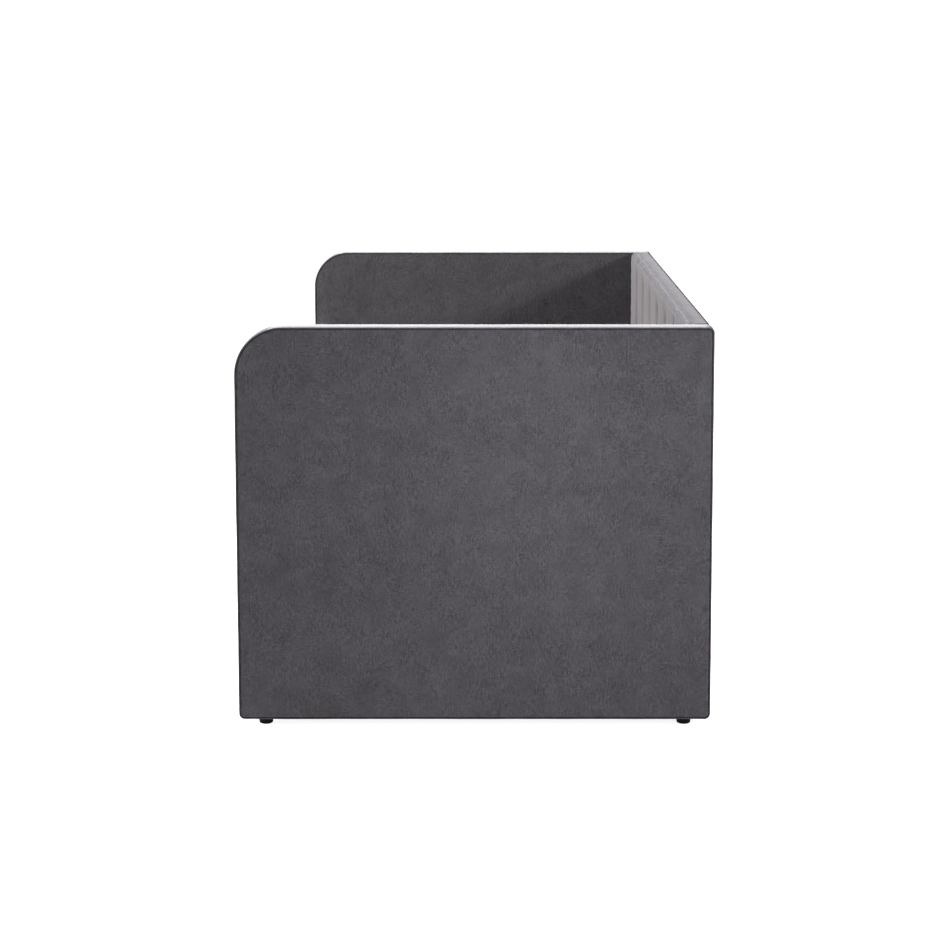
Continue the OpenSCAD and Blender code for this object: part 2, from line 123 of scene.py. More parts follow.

# ---------- camera, floor and light ----------


def add_camera():
    data = bpy.data.cameras.new("camera")
    data.lens = CAMERA_LENS
    data.sensor_width = 36.0
    data.shift_x, data.shift_y = CAMERA_SHIFT
    camera = bpy.data.objects.new("camera", data)
    camera.location = CAMERA_AT
    camera.rotation_euler = (math.radians(90 - CAMERA_PITCH), 0, math.radians(90))
    bpy.context.scene.collection.objects.link(camera)
    bpy.context.scene.camera = camera


add_camera()


def area_light(name, at, target, size, power):
    data = bpy.data.lights.new(name, "AREA")
    data.shape = "RECTANGLE"
    data.size, data.size_y = size
    data.energy = power
    light = bpy.data.objects.new(name, data)
    light.location = at
    light.rotation_euler = (Vector(target) - Vector(at)).to_track_quat("-Z", "Y").to_euler()
    light.visible_camera = False
    bpy.context.scene.collection.objects.link(light)


def add_lights():
    area_light("key_rear", (2.9, 5.2, 3.0), (-0.4, 0.2, 0.7), (0.8, 0.8), KEY_POWER)
    area_light("overhead", (0.0, 0.4, 4.2), (0, 0, 0.5), (3.4, 2.4), TOP_POWER)
    area_light("end_fill", (1.76, 0.2, 0.76), (1.0, 0.16, 0.64), (0.5, 0.4), END_POWER)
    area_light("front_fill", (0.3, -4.6, 1.8), (0, 0.3, 0.5), (3.0, 1.8), FRONT_POWER)


def add_world():
    """White for the camera; as light, an even white sky."""
    world = bpy.data.worlds.new("studio")
    bpy.context.scene.world = world
    world.use_nodes = True
    tree = world.node_tree
    tree.nodes.clear()
    backdrop, sky = (tree.nodes.new("ShaderNodeBackground") for _ in range(2))
    backdrop.inputs["Color"].default_value = (1, 1, 1, 1)
    backdrop.inputs["Strength"].default_value = 1.02
    sky.inputs["Color"].default_value = (0.985, 0.99, 1.0, 1)
    sky.inputs["Strength"].default_value = WORLD_LIGHT
    path = tree.nodes.new("ShaderNodeLightPath")
    mix = tree.nodes.new("ShaderNodeMixShader")
    out = tree.nodes.new("ShaderNodeOutputWorld")
    tree.links.new(path.outputs["Is Camera Ray"], mix.inputs[0])
    tree.links.new(sky.outputs[0], mix.inputs[1])
    tree.links.new(backdrop.outputs[0], mix.inputs[2])
    tree.links.new(mix.outputs[0], out.inputs["Surface"])
    bpy.context.scene.view_settings.view_transform = "Standard"


# ---------- materials ----------

class Paint:
    """A node material with one Principled shader, and short ways to add nodes to it."""

    def __init__(self, name, **constants):
        self.material = bpy.data.materials.new(name)
        self.material.use_nodes = True
        self.tree = self.material.node_tree
        self.shader = self.tree.nodes["Principled BSDF"]
        for key, value in constants.items():
            self.shader.inputs[key.replace("_", " ").title().replace("Ior", "IOR")].default_value = value
        self.place = self.node("ShaderNodeTexCoord").outputs["Object"]

    def node(self, kind, **settings):
        made = self.tree.nodes.new(kind)
        for key, value in settings.items():
            setattr(made, key, value)
        return made

    def feed(self, node, key, value):
        if isinstance(value, bpy.types.NodeSocket):
            self.tree.links.new(value, node.inputs[key])
        else:
            node.inputs[key].default_value = value

    def stretched(self, scale, shift=(0, 0, 0)):
        made = self.node("ShaderNodeMapping")
        self.feed(made, "Vector", self.place)
        self.feed(made, "Scale", scale)
        self.feed(made, "Location", shift)
        return made.outputs["Vector"]

    def noise(self, scale, detail=3.0, rough=0.55, distortion=0.0, at=None):
        made = self.node("ShaderNodeTexNoise")
        self.feed(made, "Vector", self.place if at is None else at)
        self.feed(made, "Scale", scale)
        self.feed(made, "Detail", detail)
        self.feed(made, "Roughness", rough)
        self.feed(made, "Distortion", distortion)
        return made.outputs["Fac"]

    def math(self, operation, a, b=0.0):
        made = self.node("ShaderNodeMath", operation=operation)
        self.feed(made, 0, a)
        self.feed(made, 1, b)
        return made.outputs[0]

    def sum(self, *weighted):
        """The weighted sum of (value, weight) pairs."""
        total = None
        for value, weight in weighted:
            part = self.math("MULTIPLY", value, weight)
            total = part if total is None else self.math("ADD", total, part)
        return total

    def spread(self, value, low, high):
        """Stretches low..high of a value to 0..1."""
        made = self.node("ShaderNodeMapRange", interpolation_type="SMOOTHSTEP")
        self.feed(made, "Value", value)
        self.feed(made, "From Min", low)
        self.feed(made, "From Max", high)
        return made.outputs["Result"]

    def blend(self, factor, a, b):
        """Mixes two colours or two values by a factor."""
        colours = isinstance(a, tuple) or (isinstance(a, bpy.types.NodeSocket) and a.type == "RGBA")
        made = self.node("ShaderNodeMix", data_type="RGBA" if colours else "FLOAT")
        keys = ("A_Color", "B_Color") if colours else ("A_Float", "B_Float")
        sockets = {s.identifier: s for s in made.inputs}
        for key, value in zip(("Factor_Float", *keys), (factor, a, b)):
            if isinstance(value, bpy.types.NodeSocket):
                self.tree.links.new(value, sockets[key])
            else:
                sockets[key].default_value = (*value, 1) if isinstance(value, tuple) else value
        out = "Result_Color" if colours else "Result_Float"
        return next(s for s in made.outputs if s.identifier == out)

    def colour(self, value):
        self.feed(self.shader, "Base Color", value)

    def roughness(self, value):
        self.feed(self.shader, "Roughness", value)

    def bump(self, height, strength, distance):
        made = self.node("ShaderNodeBump")
        self.feed(made, "Height", height)
        self.feed(made, "Strength", strength)
        self.feed(made, "Distance", distance)
        self.feed(self.shader, "Normal", made.outputs["Normal"])

    def weave(self, pitch):
        """A plain weave on any face that lies along two of the axes, from 0 to 1."""
        split = self.node("ShaderNodeSeparateXYZ")
        self.feed(split, "Vector", self.place)
        waves = [
            (self.math("SINE", self.math("MULTIPLY", split.outputs[i], 2 * math.pi / pitch)), 0.25)
            for i in range(3)
        ]
        return self.math("ADD", self.sum(*waves), 0.5)


def velvet(name="velvet", sheen=0.65):
    """Brushed grey velvet: nap marks of several sizes over a fine pile, with a soft sheen. Copies with
    weaker sheen are painted shade, put where the lights make the velvet too bright."""
    paint = Paint(name, specular_ior_level=0.12, sheen_weight=sheen, sheen_roughness=0.42)
    paint.shader.inputs["Sheen Tint"].default_value = (0.975, 0.95, 1.0, 1)
    patch = paint.noise(3.4, 3, 0.5, 0.3)
    cloud = paint.noise(19, 4, 0.62, 0.6)
    mask = paint.spread(paint.noise(26, 3, 0.6), 0.38, 0.62)
    upright = paint.noise(230, 3, 0.6, at=paint.stretched((1, 1, 0.34)))
    level = paint.noise(210, 3, 0.6, at=paint.stretched((0.4, 0.4, 1), (3.1, 1.7, 0.4)))
    strokes = paint.blend(paint.spread(paint.noise(9, 2, 0.5, 0.6), 0.5, 0.66), upright, level)
    grain = paint.noise(400, 2, 0.7)
    speck = paint.noise(300, 1, 0.5, at=paint.stretched((1, 1, 0.7), (5.3, 2.2, 1.9)))
    speck = paint.spread(speck, 0.62, 0.8)
    lively = paint.sum((mask, 0.6), (1.0, 0.4))
    fine = paint.sum((grain, 1.05), (strokes, 0.84), (speck, 0.3), (1.0, -0.945))
    fine = paint.math("MULTIPLY", fine, lively)
    tone = paint.spread(paint.sum((patch, 0.2), (cloud, 0.36), (fine, 1.0), (1.0, 0.22)), 0.18, 0.82)
    paint.colour(paint.blend(tone, (0.0143, 0.0131, 0.0151), (0.0512, 0.0479, 0.0542)))
    paint.roughness(paint.sum((tone, 0.12), (1.0, 0.82)))
    paint.bump(paint.sum((strokes, 0.5), (grain, 0.5)), 0.3, 0.0009)
    return paint.material


def thread():
    """Twisted sewing thread, far darker than the velvet: near black, partly painted shade that stands in
    for the shadow in the seam grooves.
    """
    paint = Paint("thread", specular_ior_level=0.15)
    twist = paint.noise(2600, 2, 0.5, at=paint.stretched((1, 1, 0.35)))
    paint.colour(paint.blend(twist, (0.0035, 0.0032, 0.0036), (0.011, 0.0102, 0.0114)))
    paint.roughness(paint.sum((twist, 0.2), (1.0, 0.6)))
    paint.bump(twist, 0.4, 0.0003)
    return paint.material


def pine(name, along, pitch):
    """Planed softwood with its grain along one axis; each board, a pitch apart, differs a little."""
    paint = Paint(name, specular_ior_level=0.35)
    split = paint.node("ShaderNodeSeparateXYZ")
    paint.feed(split, "Vector", paint.place)
    across = 1 - along if along < 2 else 0
    number = paint.math("FLOOR", paint.math("DIVIDE", split.outputs[across], pitch))
    white = paint.node("ShaderNodeTexWhiteNoise", noise_dimensions="1D")
    paint.feed(white, "W", number)
    board = white.outputs["Value"]
    scale = [1.0, 1.0, 1.0]
    scale[along] = 0.045
    moved = paint.node("ShaderNodeVectorMath", operation="ADD")
    paint.feed(moved, 0, paint.stretched(tuple(scale)))
    paint.feed(moved, 1, white.outputs["Color"])
    rings = paint.noise(46, 2, 0.45, 1.6, at=moved.outputs["Vector"])
    bands = paint.math("PINGPONG", paint.math("MULTIPLY", rings, 9.0), 1.0)
    fibre = paint.noise(900, 3, 0.6, at=moved.outputs["Vector"])
    knot = paint.node("ShaderNodeTexVoronoi")
    spots = [1.0, 1.0, 1.0]
    spots[along] = 0.45
    paint.feed(knot, "Vector", paint.stretched(tuple(spots), (0.37, 0.11, 0.23)))
    paint.feed(knot, "Scale", 4.2)
    dark = paint.spread(knot.outputs["Distance"], 0.075, 0.02)
    tone = paint.sum((bands, 0.42), (fibre, 0.38), (board, 0.28))
    wood = paint.blend(paint.spread(tone, 0.2, 0.9), (0.56, 0.385, 0.215), (0.40, 0.24, 0.112))
    paint.colour(paint.blend(dark, wood, (0.17, 0.075, 0.03)))
    paint.roughness(paint.sum((fibre, 0.25), (1.0, 0.42)))
    paint.bump(paint.sum((fibre, 0.6), (bands, 0.4)), 0.25, 0.0006)
    return paint.material


def hardboard():
    """Pressed brown fibreboard with a smooth, slightly mottled face."""
    paint = Paint("hardboard", specular_ior_level=0.35)
    fibre = paint.noise(420, 4, 0.65, 0.5)
    cloud = paint.noise(22, 3)
    tone = paint.sum((fibre, 0.6), (cloud, 0.4))
    paint.colour(paint.blend(paint.spread(tone, 0.35, 0.65), (0.12, 0.062, 0.03), (0.205, 0.118, 0.06)))
    paint.roughness(paint.sum((fibre, 0.3), (1.0, 0.4)))
    paint.bump(fibre, 0.2, 0.0004)
    return paint.material


def webbing():
    """Black woven strap with a rib across it."""
    paint = Paint("webbing", specular_ior_level=0.3, sheen_weight=0.35, sheen_roughness=0.5)
    ribs = paint.weave(0.0024)
    fuzz = paint.noise(1400, 2)
    tone = paint.sum((ribs, 0.6), (fuzz, 0.4))
    paint.colour(paint.blend(paint.spread(tone, 0.25, 0.75), (0.010, 0.010, 0.011), (0.035, 0.034, 0.037)))
    paint.roughness(paint.sum((fuzz, 0.25), (1.0, 0.62)))
    paint.bump(tone, 0.6, 0.0007)
    return paint.material


def plastic(name, low, high, rough, shine=0.3):
    """Moulded plastic with a fine spark-eroded texture and a few scuffs."""
    paint = Paint(name, specular_ior_level=shine)
    fine = paint.noise(1500, 2)
    scuff = paint.spread(paint.noise(90, 4, 0.7, 1.2), 0.55, 0.72)
    paint.colour(paint.blend(paint.sum((fine, 0.4), (scuff, 0.6)), low, high))
    paint.roughness(paint.sum((fine, 0.14), (scuff, 0.16), (1.0, rough)))
    paint.bump(fine, 0.12, 0.0003)
    return paint.material


def zinc():
    """Zinc-plated steel: faint spangle and rolling marks, a little duller where it was handled."""
    paint = Paint("zinc_plate", metallic=1.0)
    spangle = paint.node("ShaderNodeTexVoronoi")
    paint.feed(spangle, "Vector", paint.place)
    paint.feed(spangle, "Scale", 260.0)
    cloud = paint.noise(60, 3, 0.6, 0.8)
    tone = paint.sum((spangle.outputs["Distance"], 0.35), (cloud, 0.65))
    paint.colour(paint.blend(paint.spread(tone, 0.2, 0.7), (0.46, 0.47, 0.49), (0.70, 0.71, 0.72)))
    paint.roughness(paint.sum((cloud, 0.28), (1.0, 0.2)))
    paint.bump(cloud, 0.08, 0.0004)
    return paint.material


def floor_paint():
    """White studio floor. It glows, more so where it is in view. Where the camera sees it under the stowed
    bed, the glow is lowered: a painted soft shadow left underneath."""
    paint = Paint("studio_floor", specular_ior_level=0.1)
    paint.shader.inputs["Emission Color"].default_value = (1, 1, 1, 1)
    split = paint.node("ShaderNodeSeparateXYZ")
    paint.feed(split, "Vector", paint.place)
    # clear rises from 0 under the stowed bed to 1 beyond its footprint; below 1 lies the painted shadow
    reach = [max(abs(low), abs(high)) for low, high in zip(*cad_box)]
    far = [paint.spread(paint.math("ABSOLUTE", split.outputs[i]), reach[i] - fade, reach[i] - 0.03)
           for i, fade in enumerate((0.42, 0.09))]
    clear = paint.math("MAXIMUM", *far)
    seen = paint.node("ShaderNodeLightPath").outputs["Is Camera Ray"]
    # camera rays only: more glow in view, less under the bed as a painted shadow
    extra = paint.math("MULTIPLY", seen, paint.sum((clear, GLOW_IN_VIEW), (1.0, -PAINTED_SHADOW)))
    paint.feed(paint.shader, "Emission Strength", paint.sum((extra, 1.0), (1.0, FLOOR_GLOW)))
    mottle = paint.noise(2.0, 2)
    paint.colour(paint.blend(mottle, (0.80, 0.80, 0.803), (0.815, 0.815, 0.818)))
    paint.roughness(0.9)
    return paint.material


VELVET = velvet()
# painted shade: the edge strips get a velvet copy with weaker sheen, as the lights make their tops too
# bright
VELVET_STRIP = velvet("velvet_strip", 0.5)
BACK_SHEEN = (0.61, 0.24, 0.175, 0.225)     # face, the last two rows of its upper edge, top: the weaker sheen up there is painted shade where the lights fall more strongly
VELVET_BACK = [velvet(f"velvet_back_{i}", sheen) for i, sheen in enumerate(BACK_SHEEN)]
# THREAD_AND_SEAM_SHADE's near-black colour is partly painted shade for the seam grooves
THREAD_AND_SEAM_SHADE, WEBBING, ZINC = thread(), webbing(), zinc()


# ---------- mesh helpers ----------

def smoothstep(t):
    t = np.clip(t, 0.0, 1.0)
    return t * t * (3 - 2 * t)


def wobble(*coords, scale, seed):
    """Smooth seeded waves over one or two coordinates, about -1 to 1, as an array."""
    rng = np.random.default_rng(seed)
    total = 0.0
    for _ in range(6):
        turn, phase = rng.uniform(0, 2 * math.pi, 2)
        k = 2 * math.pi / scale * rng.uniform(0.6, 1.7)
        along = coords[0] * math.cos(turn)
        if len(coords) > 1:
            along = along + coords[1] * math.sin(turn)
        total = total + np.sin(k * along + phase)
    return total / 3.0


def to_object(name, verts, faces, material, body="daybed"):
    mesh = bpy.data.meshes.new(name)
    mesh.from_pydata([tuple(v) for v in verts], [], faces)
    mesh.materials.append(material)
    edit = bmesh.new()
    edit.from_mesh(mesh)
    bmesh.ops.recalc_face_normals(edit, faces=edit.faces)
    edit.to_mesh(mesh)
    edit.free()
    mesh.polygons.foreach_set("use_smooth", [True] * len(mesh.polygons))
    piece = bpy.data.objects.new(name, mesh)
    bpy.context.scene.collection.objects.link(piece)
    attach(piece, body)
    return piece


def circle(count):
    """The cosine and sine of even turns."""
    turns = [2 * math.pi * k / count for k in range(count)]
    return [(math.cos(t), math.sin(t)) for t in turns]


def grid_faces(rows, columns):
    """Quads of a grid of points stored row by row."""
    return [
        (r * columns + c, r * columns + c + 1, (r + 1) * columns + c + 1, (r + 1) * columns + c)
        for r in range(rows - 1) for c in range(columns - 1)
    ]


def slab_faces(rows, columns):
    """Faces that close a grid into a slab, with a skirt down to a flat base, and the grid's border.
    The base has one point under each point of the border, stored after the grid's."""
    border = [*range(columns), *range(2 * columns - 1, rows * columns, columns),
              *range(rows * columns - 2, (rows - 1) * columns - 1, -1),
              *range((rows - 2) * columns, 0, -columns)]
    first, count = rows * columns, len(border)
    skirt = [(border[i], first + i, first + (i + 1) % count, border[(i + 1) % count])
             for i in range(count)]
    base = tuple(range(first + count - 1, first - 1, -1))
    return [*grid_faces(rows, columns), *skirt, base], border


def ring_faces(rings, points, first=0, closed=False):
    """Quads between rings of points; closed joins the last ring to the first."""
    last = rings if closed else rings - 1
    return [
        (first + r * points + p, first + r * points + (p + 1) % points,
         first + (r + 1) % rings * points + (p + 1) % points, first + (r + 1) % rings * points + p)
        for r in range(last) for p in range(points)
    ]


def bar_faces(rings, points, first=0):
    """Quads between rings of points, and a flat face over each end."""
    last = first + (rings - 1) * points
    return [*ring_faces(rings, points, first),
            tuple(range(first + points - 1, first - 1, -1)), tuple(range(last, last + points))]


def graded(length, edges, step):
    """Places from 0 to length, close together near both ends and a step apart between."""
    start = edges[-1]
    count = max(1, round((length - 2 * start) / step))
    middle = [start + (length - 2 * start) * i / count for i in range(1, count)]
    return np.array([*edges, *middle, *[length - e for e in reversed(edges)]])


class Panel:
    """A flat rectangle with rounded corners: its corner, its two edges, its normal and its radii."""

    def __init__(self, origin, a, b, normal, width, height, radii):
        self.origin, self.a, self.b, self.n = (np.array(v, float) for v in (origin, a, b, normal))
        self.width, self.height = width, height
        self.radii = radii      # low-low, high-low, low-high, high-high

    def corners(self, inset=0.0):
        w, h = self.width, self.height
        for i, r in enumerate(self.radii):
            sa, sb = (1, -1)[i % 2], (1, -1)[i // 2]
            centre = (r if sa > 0 else w - r, r if sb > 0 else h - r)
            yield centre, sa, sb, max(r - inset, 1e-5)

    def rounded(self, u, v, inset=0.0):
        """Maps places on the inset rectangle into the inset rounded outline."""
        a, b = u + inset, v + inset
        for (ca, cb), sa, sb, r in self.corners(inset):
            x, y = (ca - a) * sa / r, (cb - b) * sb / r
            inside = (x > 0) & (y > 0)
            xi, yi = np.clip(x, 0, 1), np.clip(y, 0, 1)
            a = np.where(inside, ca - sa * r * xi * np.sqrt(1 - yi ** 2 / 2), a)
            b = np.where(inside, cb - sb * r * yi * np.sqrt(1 - xi ** 2 / 2), b)
        return a, b

    def edge_distance(self, a, b, inset=0.0):
        w, h = self.width - inset, self.height - inset
        d = np.minimum(np.minimum(a - inset, w - a), np.minimum(b - inset, h - b))
        for (ca, cb), sa, sb, r in self.corners(inset):
            x, y = (ca - a) * sa, (cb - b) * sb
            d = np.where((x > 0) & (y > 0), r - np.hypot(x, y), d)
        return np.maximum(d, 0.0)

    def at(self, a, b, n):
        a, b, n = (np.asarray(x, float)[..., None] for x in (a, b, n))
        return self.origin + a * self.a + b * self.b + n * self.n

    def outline(self, step, turn_steps=None):
        """Points round the outline with their outward normals, and the distance run so far."""
        rows = []
        order = [(0, 180, 270), (1, 270, 360), (3, 0, 90), (2, 90, 180)]
        centres = [c for c, *_ in self.corners()]
        for k, (i, start, stop) in enumerate(order):
            (ca, cb), r = centres[i], self.radii[i]
            count = turn_steps or max(5, math.ceil(r * math.pi / 2 / step))
            for j in range(count + 1):
                t = math.radians(start + (stop - start) * j / count)
                rows.append((ca + r * math.cos(t), cb + r * math.sin(t), math.cos(t), math.sin(t)))
            (na, nb), rn = centres[order[(k + 1) % 4][0]], self.radii[order[(k + 1) % 4][0]]
            end = (na + rn * math.cos(t), nb + rn * math.sin(t))
            here = rows[-1]
            count = max(1, round(math.hypot(end[0] - here[0], end[1] - here[1]) / step))
            for f in (j / count for j in range(1, count)):
                rows.append((here[0] + (end[0] - here[0]) * f, here[1] + (end[1] - here[1]) * f,
                             here[2], here[3]))
        rows = np.array(rows)
        gaps = np.hypot(*(np.roll(rows[:, :2], -1, 0) - rows[:, :2]).T)
        return rows, np.concatenate([[0], np.cumsum(gaps)[:-1]])


def upright_panel(node, y, facing, radius):
    """A panel as wide and high as a node, at one Y place, that faces the front (-1) or rear (1)."""
    lo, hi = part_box(node)
    return Panel((lo.x, y, lo.z), (1, 0, 0), (0, 0, 1), (0, facing, 0),
                 hi.x - lo.x, hi.z - lo.z, (radius,) * 4)


# ---------- cloth ----------

def nowhere(a, b):
    """No place held, or raised."""
    return np.zeros(a.shape)


def cloth_swell(panel, inset, held, start, pressure, slack, cap, step, seed):
    """Inflates a pinned sheet over a panel with Blender's Cloth and returns how far each place of
    an even grid moved along the normal. held and start give the pinned places and the first height."""
    w, h = panel.width - 2 * inset, panel.height - 2 * inset
    columns, rows = round(w / step) + 1, round(h / step) + 1
    u, v = np.meshgrid(np.linspace(0, w, columns), np.linspace(0, h, rows))
    a, b = panel.rounded(u, v, inset)
    n0, fixed = start(a, b), held(a, b)
    loose = n0 + np.random.default_rng(seed).uniform(0, 0.0003, n0.shape)
    faces, border = slab_faces(rows, columns)
    verts = [*zip(a.ravel(), b.ravel(), loose.ravel())]
    base = len(verts)
    verts += [(verts[i][0], verts[i][1], -0.03) for i in border]
    mesh = bpy.data.meshes.new("swell")
    mesh.from_pydata(verts, [], faces)
    sheet = bpy.data.objects.new("swell", mesh)
    scene = bpy.context.scene
    scene.collection.objects.link(sheet)
    pins = sheet.vertex_groups.new(name="pins")
    pins.add([*np.flatnonzero(fixed).tolist(), *border, *range(base, len(verts))], 1.0, "REPLACE")
    cloth = sheet.modifiers.new("cloth", "CLOTH")
    settings = cloth.settings
    settings.quality = 5
    settings.mass = 0.35
    settings.vertex_group_mass = "pins"
    settings.use_pressure = True
    settings.uniform_pressure_force = pressure
    settings.tension_stiffness = settings.compression_stiffness = 12
    settings.shear_stiffness = 6
    settings.bending_stiffness = 0.6
    settings.shrink_min = -slack
    settings.effector_weights.gravity = 0
    cloth.collision_settings.use_collision = False
    cloth.point_cache.frame_end = SIM_FRAMES
    for number in range(1, SIM_FRAMES + 1):
        scene.frame_set(number)
    evaluated = sheet.evaluated_get(bpy.context.evaluated_depsgraph_get())
    co = np.empty(len(verts) * 3, np.float32)
    evaluated.data.vertices.foreach_get("co", co)
    moved = co.reshape(-1, 3)[:base, 2].reshape(rows, columns) - n0
    bpy.data.objects.remove(sheet)
    bpy.data.meshes.remove(mesh)
    scene.frame_set(1)
    return n0 + cap * np.tanh(moved / cap)


def sampled(field, u, v, w, h):
    """Bilinear reading of an even grid over a rectangle."""
    rows, columns = field.shape
    x, y = np.clip(u / w, 0, 1) * (columns - 1), np.clip(v / h, 0, 1) * (rows - 1)
    i, j = np.minimum(x.astype(int), columns - 2), np.minimum(y.astype(int), rows - 2)
    fx, fy = x - i, y - j
    low = field[j, i] * (1 - fx) + field[j, i + 1] * fx
    high = field[j + 1, i] * (1 - fx) + field[j + 1, i + 1] * fx
    return low * (1 - fy) + high * fy


# ---------- upholstery ----------

ROLL_STEPS = [0, 0.08, 0.22, 0.42, 0.68, 1.0, 1.5, 2.3]


def roll_steps(roll):
    """Places close enough together to show a roll at an edge."""
    return [roll * share for share in ROLL_STEPS]


def roll_drop(d, roll):
    """How far a surface lies below its face at a distance from its edge, for a round roll."""
    inside = np.clip(roll - d, 0, roll)
    return roll - np.sqrt(np.maximum(roll ** 2 - inside ** 2, 0))


def face_pad(name, panel, node, inset, seed, body="daybed", crown=PAD_CROWN, roll=PAD_ROLL,
             held=nowhere, depth=None):
    """A thin foam and fabric pad over a board, swollen by cloth simulation, with a rolled edge
    that drops into the seam, as one closed mesh. It stands for its CAD node, and is as deep as
    that unless a depth is given."""
    lo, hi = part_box(node)
    depth = depth or abs(np.dot(np.array(hi - lo), panel.n))
    roll = min(roll, depth * 0.9)
    w, h = panel.width - 2 * inset, panel.height - 2 * inset
    field = cloth_swell(panel, inset, held, nowhere, PAD_PRESSURE, PAD_SLACK, crown, SIM_STEP, seed)
    u, v = np.meshgrid(graded(w, roll_steps(roll), GRID), graded(h, roll_steps(roll), GRID))
    a, b = panel.rounded(u, v, inset)
    d = panel.edge_distance(a, b, inset)
    n = sampled(field, u, v, w, h) * smoothstep(d / PAD_FADE)
    n += 0.00035 * wobble(a, b, scale=0.034, seed=seed) * np.exp(-d / 0.012)
    n += 0.0002 * wobble(a, b, scale=0.17, seed=seed + 7)
    n -= roll_drop(d, roll)
    faces, border = slab_faces(*u.shape)
    top = panel.at(a, b, n).reshape(-1, 3)
    under = panel.at(a.ravel()[border], b.ravel()[border], -depth)
    piece = to_object(name, [*top, *under], faces, VELVET, body)
    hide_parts(node)


def band_section(thickness):
    """Across an edge strip: how far each point lies from one seam, and how far below the outline."""
    turns = [math.radians(t) for t in (-72, -48, -24, 0, 22, 44, 66, 84)]
    roll = [(thickness - BAND_ROLL + BAND_ROLL * math.cos(t),
             BAND_ROLL * math.sin(t) - BAND_ROLL - BAND_CROWN) for t in turns]
    roll.insert(0, (roll[0][0] - 0.001, roll[0][1]))
    middle = [(thickness * f, -BAND_CROWN * abs(2 * f - 1) ** 3.2)
              for f in (0.93, 0.87, 0.78, 0.66, 0.5, 0.34, 0.22, 0.13, 0.07)]
    return roll + middle + [(thickness - x, n) for x, n in reversed(roll)]


def edge_band(name, panel, node, thickness, seed, body="daybed"):
    """The strip sewn between two faces: crowned, and rolled over both edges into the seams."""
    section = band_section(thickness)
    rows, run = panel.outline(0.009)
    verts = []
    for (a, b, na, nb), wave in zip(rows, wobble(run, scale=0.12, seed=seed)):
        for x, n in section:
            lift = n + 0.00018 * wave * (0.3 + abs(2 * x / thickness - 1))
            verts.append(panel.at(a + na * lift, b + nb * lift, x))
    piece = to_object(name, verts, ring_faces(len(rows), len(section), closed=True), VELVET_STRIP, body)
    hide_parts(node)


def twisted(radius, run):
    """The radius of a twisted thread at a distance along it."""
    return radius * (1 + 0.12 * math.sin(2 * math.pi * run / TWIST))


def seam_line(name, panel, body="daybed"):
    """The sewn seam lying in the groove between a face and its edge strip; its near-black thread is partly
    painted shade for the groove.
    """
    rows, run = panel.outline(THREAD_STEP)
    verts = []
    for (a, b, na, nb), s in zip(rows, run):
        r = twisted(SEAM_R, s)
        for x, y in circle(8):
            inward = r * x - SEAM_IN
            verts.append(panel.at(a + na * inward, b + nb * inward, r * y - SEAM_R))
    to_object(name, verts, ring_faces(len(rows), 8, closed=True), THREAD_AND_SEAM_SHADE, body)


def arm_panel(side, face, facing=1):
    """The outline of one face of an arm, with its normal outward (1) or into the arm (-1)."""
    lo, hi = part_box(f"arm_band_{side}")
    out = SIDES[side] if face == "outer" else -SIDES[side]
    origin = (hi.x if out > 0 else lo.x, lo.y, lo.z)
    return Panel(origin, (0, 1, 0), (0, 0, 1), (out * facing, 0, 0),
                 hi.y - lo.y, hi.z - lo.z, (EDGE_R, EDGE_R, CORNER_R, EDGE_R))


def add_arm(side, seed):
    lo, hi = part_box(f"arm_band_{side}")
    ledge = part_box("bed_slats")[1].z - lo.z
    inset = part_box(f"arm_outer_pad_{side}")[0].y - lo.y + SEAM_GAP
    face_pad(f"arm_outer_face_{side}", arm_panel(side, "outer"), f"arm_outer_pad_{side}", inset, seed)
    face_pad(f"arm_inner_face_{side}", arm_panel(side, "inner"), f"arm_inner_pad_{side}", inset, seed + 1,
             held=lambda a, b: b < ledge)
    for face in ("outer", "inner"):
        seam_line(f"arm_{face}_seam_{side}", arm_panel(side, face))
    edge_band(f"arm_edge_strip_{side}", arm_panel(side, "inner", -1), f"arm_band_{side}",
              hi.x - lo.x, seed + 2)


